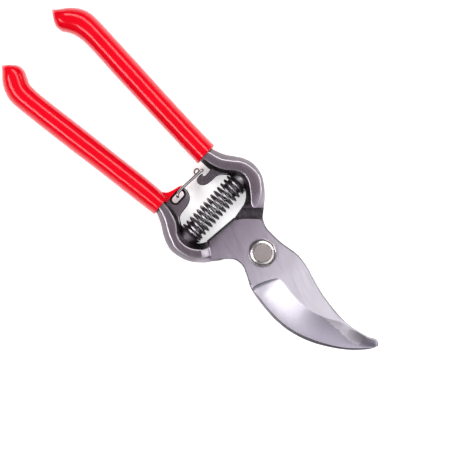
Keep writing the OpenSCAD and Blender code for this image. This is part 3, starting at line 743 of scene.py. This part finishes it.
# ------------------------------------------------------------------ materials
class Finish:
    """A material's node tree, with short ways to add a node and to link it."""

    def __init__(self, name):
        self.material = bpy.data.materials.new(name)
        self.material.use_nodes = True
        self.tree = self.material.node_tree
        self.shader = self.tree.nodes["Principled BSDF"]
        self.place = self.add("ShaderNodeTexCoord").outputs["Object"]

    def add(self, kind, values=(), **settings):
        """New node: settings are its own, values its inputs, constants or sockets."""
        node = self.tree.nodes.new(kind)
        for key, value in settings.items():
            setattr(node, key, value)
        for key, value in dict(values).items():
            if isinstance(value, bpy.types.NodeSocket):
                self.tree.links.new(value, node.inputs[key])
            else:
                node.inputs[key].default_value = value
        return node

    def noise(self, scale, detail=3, stretch=(1, 1, 1), turn=0.0):
        """Noise of that many grains a metre, stretched and turned about Z."""
        place = self.add("ShaderNodeMapping", {"Vector": self.place, "Scale": stretch,
                                               "Rotation": (0, 0, turn)}, vector_type="TEXTURE")
        return self.add("ShaderNodeTexNoise", {"Vector": place.outputs[0], "Scale": scale,
                                               "Detail": detail}).outputs["Fac"]

    def ramp(self, value, stops):
        """Colour ramp: stops are (place, colour)."""
        node = self.add("ShaderNodeValToRGB", {"Fac": value})
        ends = node.color_ramp.elements
        while len(ends) < len(stops):
            ends.new(0.5)
        for end, (place, colour) in zip(ends, stops):
            end.position = place
            end.color = (*colour, 1)
        return node.outputs["Color"]

    def mix(self, share, one, two):
        """Colour mixed from one to two by share."""
        node = self.add("ShaderNodeMix", data_type="RGBA")
        for key, value in ((0, share), (6, one), (7, two)):
            if isinstance(value, bpy.types.NodeSocket):
                self.tree.links.new(value, node.inputs[key])
            else:
                node.inputs[key].default_value = value if key == 0 else (*value, 1)
        return node.outputs[2]

    def math(self, kind, one, two=0.0):
        """Arithmetic on two values."""
        node = self.add("ShaderNodeMath", operation=kind)
        for key, value in enumerate((one, two)):
            if isinstance(value, bpy.types.NodeSocket):
                self.tree.links.new(value, node.inputs[key])
            else:
                node.inputs[key].default_value = value
        return node.outputs[0]

    def span(self, value, low, high, to_low, to_high):
        """Value moved from one span to another."""
        return self.add("ShaderNodeMapRange", {"Value": value, 1: low, 2: high, 3: to_low,
                                               4: to_high}).outputs[0]

    def bump(self, height, distance, strength=1.0, below=None):
        """Normal bent by a height in metres times distance."""
        values = {"Height": height, "Distance": distance, "Strength": strength}
        if below is not None:
            values["Normal"] = below
        return self.add("ShaderNodeBump", values).outputs[0]

    def done(self, colour, roughness, normal=None, **constants):
        """Colour, roughness and normal go to the shader; the rest are constants on it."""
        self.tree.links.new(colour, self.shader.inputs["Base Color"])
        self.tree.links.new(roughness, self.shader.inputs["Roughness"])
        if normal is not None:
            self.tree.links.new(normal, self.shader.inputs["Normal"])
        for key, value in constants.items():
            socket = key.replace("_", " ").title().replace("Ior", "IOR")
            self.shader.inputs[socket].default_value = value
        return self.material


def forged_steel():
    """Satin steel with fine grinding lines, cloudy tone, black scale and painted shade on the
    marked faces, painted highlights on the neck rims and a painted light gradient along x.
    """
    f = Finish("forged_satin_steel")
    scale_and_painted_shade = f.add("ShaderNodeAttribute", attribute_name="scale_and_painted_shade").outputs["Fac"]
    ground = f.add("ShaderNodeAttribute", attribute_name="ground").outputs["Fac"]
    wear_and_painted_highlight = f.add("ShaderNodeAttribute", attribute_name="wear_and_painted_highlight").outputs["Fac"]
    x = f.add("ShaderNodeSeparateXYZ", {"Vector": f.place}).outputs[0]
    clouds = f.noise(130, 4)
    lines = f.noise(3600, 2, stretch=(30, 1, 1), turn=-0.36)
    cross = f.noise(3000, 2, stretch=(1, 24, 1), turn=0.25)
    grain = f.noise(5200, 3)
    # Darker towards the handles, lighter towards the tip: partly the forged necks' own duller
    # tone, partly a painted light gradient across the blade.
    way = f.math("ADD", f.span(x, -0.022, 0.022, 0.0, 1.0), f.span(clouds, 0.2, 0.8, -0.05, 0.05))
    tone = f.ramp(way, [(0.03, (0.17, 0.135, 0.163)), (0.1, (0.30, 0.25, 0.31)),
                        (0.4, (0.45, 0.39, 0.47)), (0.92, (0.80, 0.75, 0.83))])
    rubbed = f.math("MULTIPLY", f.span(lines, 0.35, 0.72, 0.0, 0.15),
                    f.span(x, -0.022, 0.0, 0.35, 1.0))
    streaks = f.mix(rubbed, tone, (0.80, 0.77, 0.83))
    bright = f.ramp(cross, [(0.3, (0.56, 0.53, 0.60)), (0.72, (0.64, 0.60, 0.68))])
    # The ground face darkened towards the tip as painted shade.
    bright = f.mix(f.span(x, 0.024, 0.044, 0.0, 0.65), bright, (0.36, 0.33, 0.42))
    steel = f.mix(ground, streaks, bright)
    # Dark colour of forging scale, also used for painted shade.
    scale = f.ramp(f.noise(700, 4), [(0.35, (0.012, 0.010, 0.012)), (0.75, (0.075, 0.065, 0.07))])
    # Neck rims lightened as wear and painted highlight; faces marked dark take the scale and shade
    # colour.
    colour = f.mix(wear_and_painted_highlight, f.mix(scale_and_painted_shade, steel, scale), (0.76, 0.73, 0.77))
    rough = f.mix(ground, f.span(lines, 0.2, 0.8, 0.3, 0.42), f.span(cross, 0.2, 0.8, 0.37, 0.42))
    rough = f.math("ADD", rough, f.math("MULTIPLY", scale_and_painted_shade, 0.1))
    normal = f.bump(grain, 0.000008, 0.5)
    normal = f.bump(f.mix(ground, lines, cross), 0.000005, 0.3, normal)
    normal = f.bump(f.math("MULTIPLY", f.noise(1400, 4), scale_and_painted_shade), 0.00008, 0.7, normal)
    return f.done(colour, rough, normal, metallic=1.0)


def dipped_vinyl():
    """Glossy red dip: an even red with a faint orange-peel surface and slightly thinner patches.
    """
    f = Finish("dipped_red_vinyl")
    clouds = f.noise(45, 3)
    colour = f.ramp(clouds, [(0.3, (0.66, 0.0, 0.008)), (0.7, (0.74, 0.0, 0.012))])
    rough = f.span(f.noise(160, 3), 0.3, 0.7, 0.13, 0.19)
    peel = f.bump(f.noise(380, 2), 0.00012, 0.35)
    fine = f.bump(f.noise(2600, 2), 0.00001, 0.3, peel)
    return f.done(colour, rough, fine, specular_ior_level=0.3)


def bolt_steel():
    """Bright plated steel, polished on the dome and sand-matt on the flat in its middle."""
    f = Finish("plated_bolt_steel")
    x, y, z = f.add("ShaderNodeSeparateXYZ", {"Vector": f.place}).outputs
    radius = f.math("SQRT", f.math("ADD", f.math("MULTIPLY", x, x), f.math("MULTIPLY", y, y)))
    centre = f.span(radius, 0.00385, 0.00405, 1.0, 0.0)
    top = f.math("GREATER_THAN", z, (BOLT_HIGH[2] - 0.1) * MM)
    matt = f.math("MULTIPLY", centre, top)
    grain = f.noise(4200, 3)
    clouds = f.noise(600, 3)
    shine = f.ramp(clouds, [(0.3, (0.40, 0.37, 0.37)), (0.7, (0.54, 0.51, 0.51))])
    dull = f.ramp(grain, [(0.3, (0.26, 0.22, 0.22)), (0.7, (0.34, 0.29, 0.29))])
    colour = f.mix(matt, shine, dull)
    rough = f.math("ADD", f.span(clouds, 0.3, 0.7, 0.24, 0.31), f.math("MULTIPLY", matt, 0.2))
    normal = f.bump(f.math("MULTIPLY", grain, matt), 0.00003, 0.8)
    return f.done(colour, rough, normal, metallic=1.0)


def drawn_wire(name, dark, light, rough_low, rough_high):
    """Drawn steel wire: fine draw lines, oil-dark patches and a satin shine."""
    f = Finish(name)
    patches = f.noise(420, 4)
    lines = f.noise(5200, 2)
    colour = f.ramp(patches, [(0.3, dark), (0.7, light)])
    rough = f.span(lines, 0.3, 0.7, rough_low, rough_high)
    return f.done(colour, rough, f.bump(lines, 0.00001, 0.5), metallic=1.0)


def browned_metal():
    """Browned sheet metal: warm dark oxide that is rubbed lighter in patches."""
    f = Finish("browned_tab_metal")
    patches = f.noise(900, 4)
    colour = f.ramp(patches, [(0.3, (0.11, 0.065, 0.06)), (0.7, (0.27, 0.20, 0.19))])
    rough = f.span(patches, 0.3, 0.7, 0.42, 0.3)
    return f.done(colour, rough, f.bump(f.noise(3800, 3), 0.00002, 0.5), metallic=0.8)


def floor_paper():
    """Plain near-white paper."""
    f = Finish("pale_floor")
    tone = f.ramp(f.noise(6, 2), [(0.4, (0.90, 0.90, 0.90)), (0.6, (0.92, 0.92, 0.92))])
    rough = f.span(f.noise(40, 2), 0.4, 0.6, 0.85, 0.95)
    return f.done(tone, rough, emission_color=(1, 1, 1, 1), emission_strength=0.45)


# ------------------------------------------------------------------ assembly
STEEL = forged_steel()
VINYL = dipped_vinyl()
BOLT = bolt_steel()
COIL = drawn_wire("spring_wire_steel", (0.13, 0.12, 0.13), (0.42, 0.41, 0.43), 0.18, 0.3)
WIRE = drawn_wire("catch_wire_steel", (0.36, 0.33, 0.35), (0.60, 0.57, 0.60), 0.2, 0.34)
BROWN = browned_metal()


def place(piece, finish, body, node, slot):
    """Gives a piece its finish and its body, and hides the frame node that it stands for; slot is
    not used.
    """
    piece.data.materials.clear()
    piece.data.materials.append(finish)
    if body is not None:
        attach(piece, body)
    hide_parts(node)


place(blade_arm(), STEEL, "blade_half", "blade_arm", "forged_steel")
place(hook_arm(), STEEL, "hook_half", "hook_arm", "forged_steel")
place(blade_arm_grip(), VINYL, "blade_half", "blade_arm_grip", "grip_coat")
place(grip("hook_half_grip", HOOK_GRIP, HOOK_DRIP), VINYL, "hook_half", "hook_arm_grip",
      "grip_coat")
place(pivot_bolt(), BOLT, "blade_half", "pivot_bolt", "bolt_steel")
place(pivot_nut(), BOLT, "blade_half", "pivot_nut", "bolt_steel")
place(pivot_washer(), BOLT, "blade_half", "pivot_washer", "bolt_steel")
place(safety_catch(), WIRE, "catch", "safety_catch", "wire_steel")
place(catch_tab(), BROWN, "catch", "catch_tab", "tab_metal")
coil = return_spring()
place(coil, COIL, None, "return_spring", "spring_steel")
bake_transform(coil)


# ------------------------------------------------------------------ stage, light and camera
def stage_floor():
    """Square floor, 6 m wide, just under the pruner."""
    half, z = 3000, -0.02
    corners = [[-half, -half, z], [half, -half, z], [half, half, z], [-half, half, z]]
    mesh = bpy.data.meshes.new("floor")
    mesh.from_pydata((np.array(corners) * MM).tolist(), [], [[0, 1, 2, 3]])
    floor = bpy.data.objects.new("floor", mesh)
    bpy.context.scene.collection.objects.link(floor)
    floor.data.materials.append(floor_paper())


def softbox(name, place_m, width, length, watts):
    """Rectangular soft light that looks at the pruner, with its width along X."""
    light = bpy.data.lights.new(name, "AREA")
    light.shape = "RECTANGLE"
    light.size, light.size_y = width, length
    light.energy = watts
    lamp = bpy.data.objects.new(name, light)
    bpy.context.scene.collection.objects.link(lamp)
    place_m = np.array(place_m, float)
    ahead = unit(np.array([-0.03, 0, 0]) - place_m)
    up = unit(np.cross([1.0, 0, 0], ahead))
    right = np.cross(ahead, up)
    turn = np.eye(4)
    turn[:3, 0], turn[:3, 1], turn[:3, 2], turn[:3, 3] = right, up, -ahead, place_m
    lamp.matrix_world = Matrix(turn.tolist())


def studio():
    """Dim, even surroundings, with a long softbox on each side, a wide panel past the blade's
    tip and a low strip that catches the arms' walls."""
    world = bpy.data.worlds.new("studio")
    bpy.context.scene.world = world
    world.use_nodes = True
    tree = world.node_tree
    way = tree.nodes.new("ShaderNodeTexCoord").outputs["Generated"]
    parts = tree.nodes.new("ShaderNodeSeparateXYZ")
    tree.links.new(way, parts.inputs[0])
    sky = tree.nodes.new("ShaderNodeValToRGB")
    tree.links.new(parts.outputs[2], sky.inputs["Fac"])
    low, high = sky.color_ramp.elements
    low.position, low.color = 0.35, (0.11, 0.11, 0.12, 1)
    high.position, high.color = 0.97, (0.15, 0.145, 0.16, 1)
    tree.links.new(sky.outputs["Color"], tree.nodes["Background"].inputs["Color"])
    softbox("left_softbox", (-0.2, 0.62, 1.0), 1.2, 0.42, 10.5)
    softbox("right_softbox", (-0.38, -0.62, 0.92), 0.74, 0.42, 8.5)
    softbox("blade_panel", (0.62, 0.0, 1.0), 0.75, 0.8, 3.6)
    softbox("low_softbox", (0.5, 0.85, 0.16), 0.5, 0.22, 1.5)
    bpy.context.scene.view_settings.view_transform = "Standard"


def camera():
    """Long lens straight above, turned so that the blade points down to the right."""
    height, frame_width, turn = 1.2, 0.2122, np.radians(42.3)
    lens = bpy.data.cameras.new("camera")
    lens.sensor_width = 36
    lens.lens = lens.sensor_width * (height - MID_Z * MM) / frame_width
    view = bpy.data.objects.new("camera", lens)
    bpy.context.scene.collection.objects.link(view)
    view.location = (-0.0146, -0.0024, height)
    view.rotation_euler = (0, 0, turn)
    bpy.context.scene.camera = view


stage_floor()
studio()
camera()
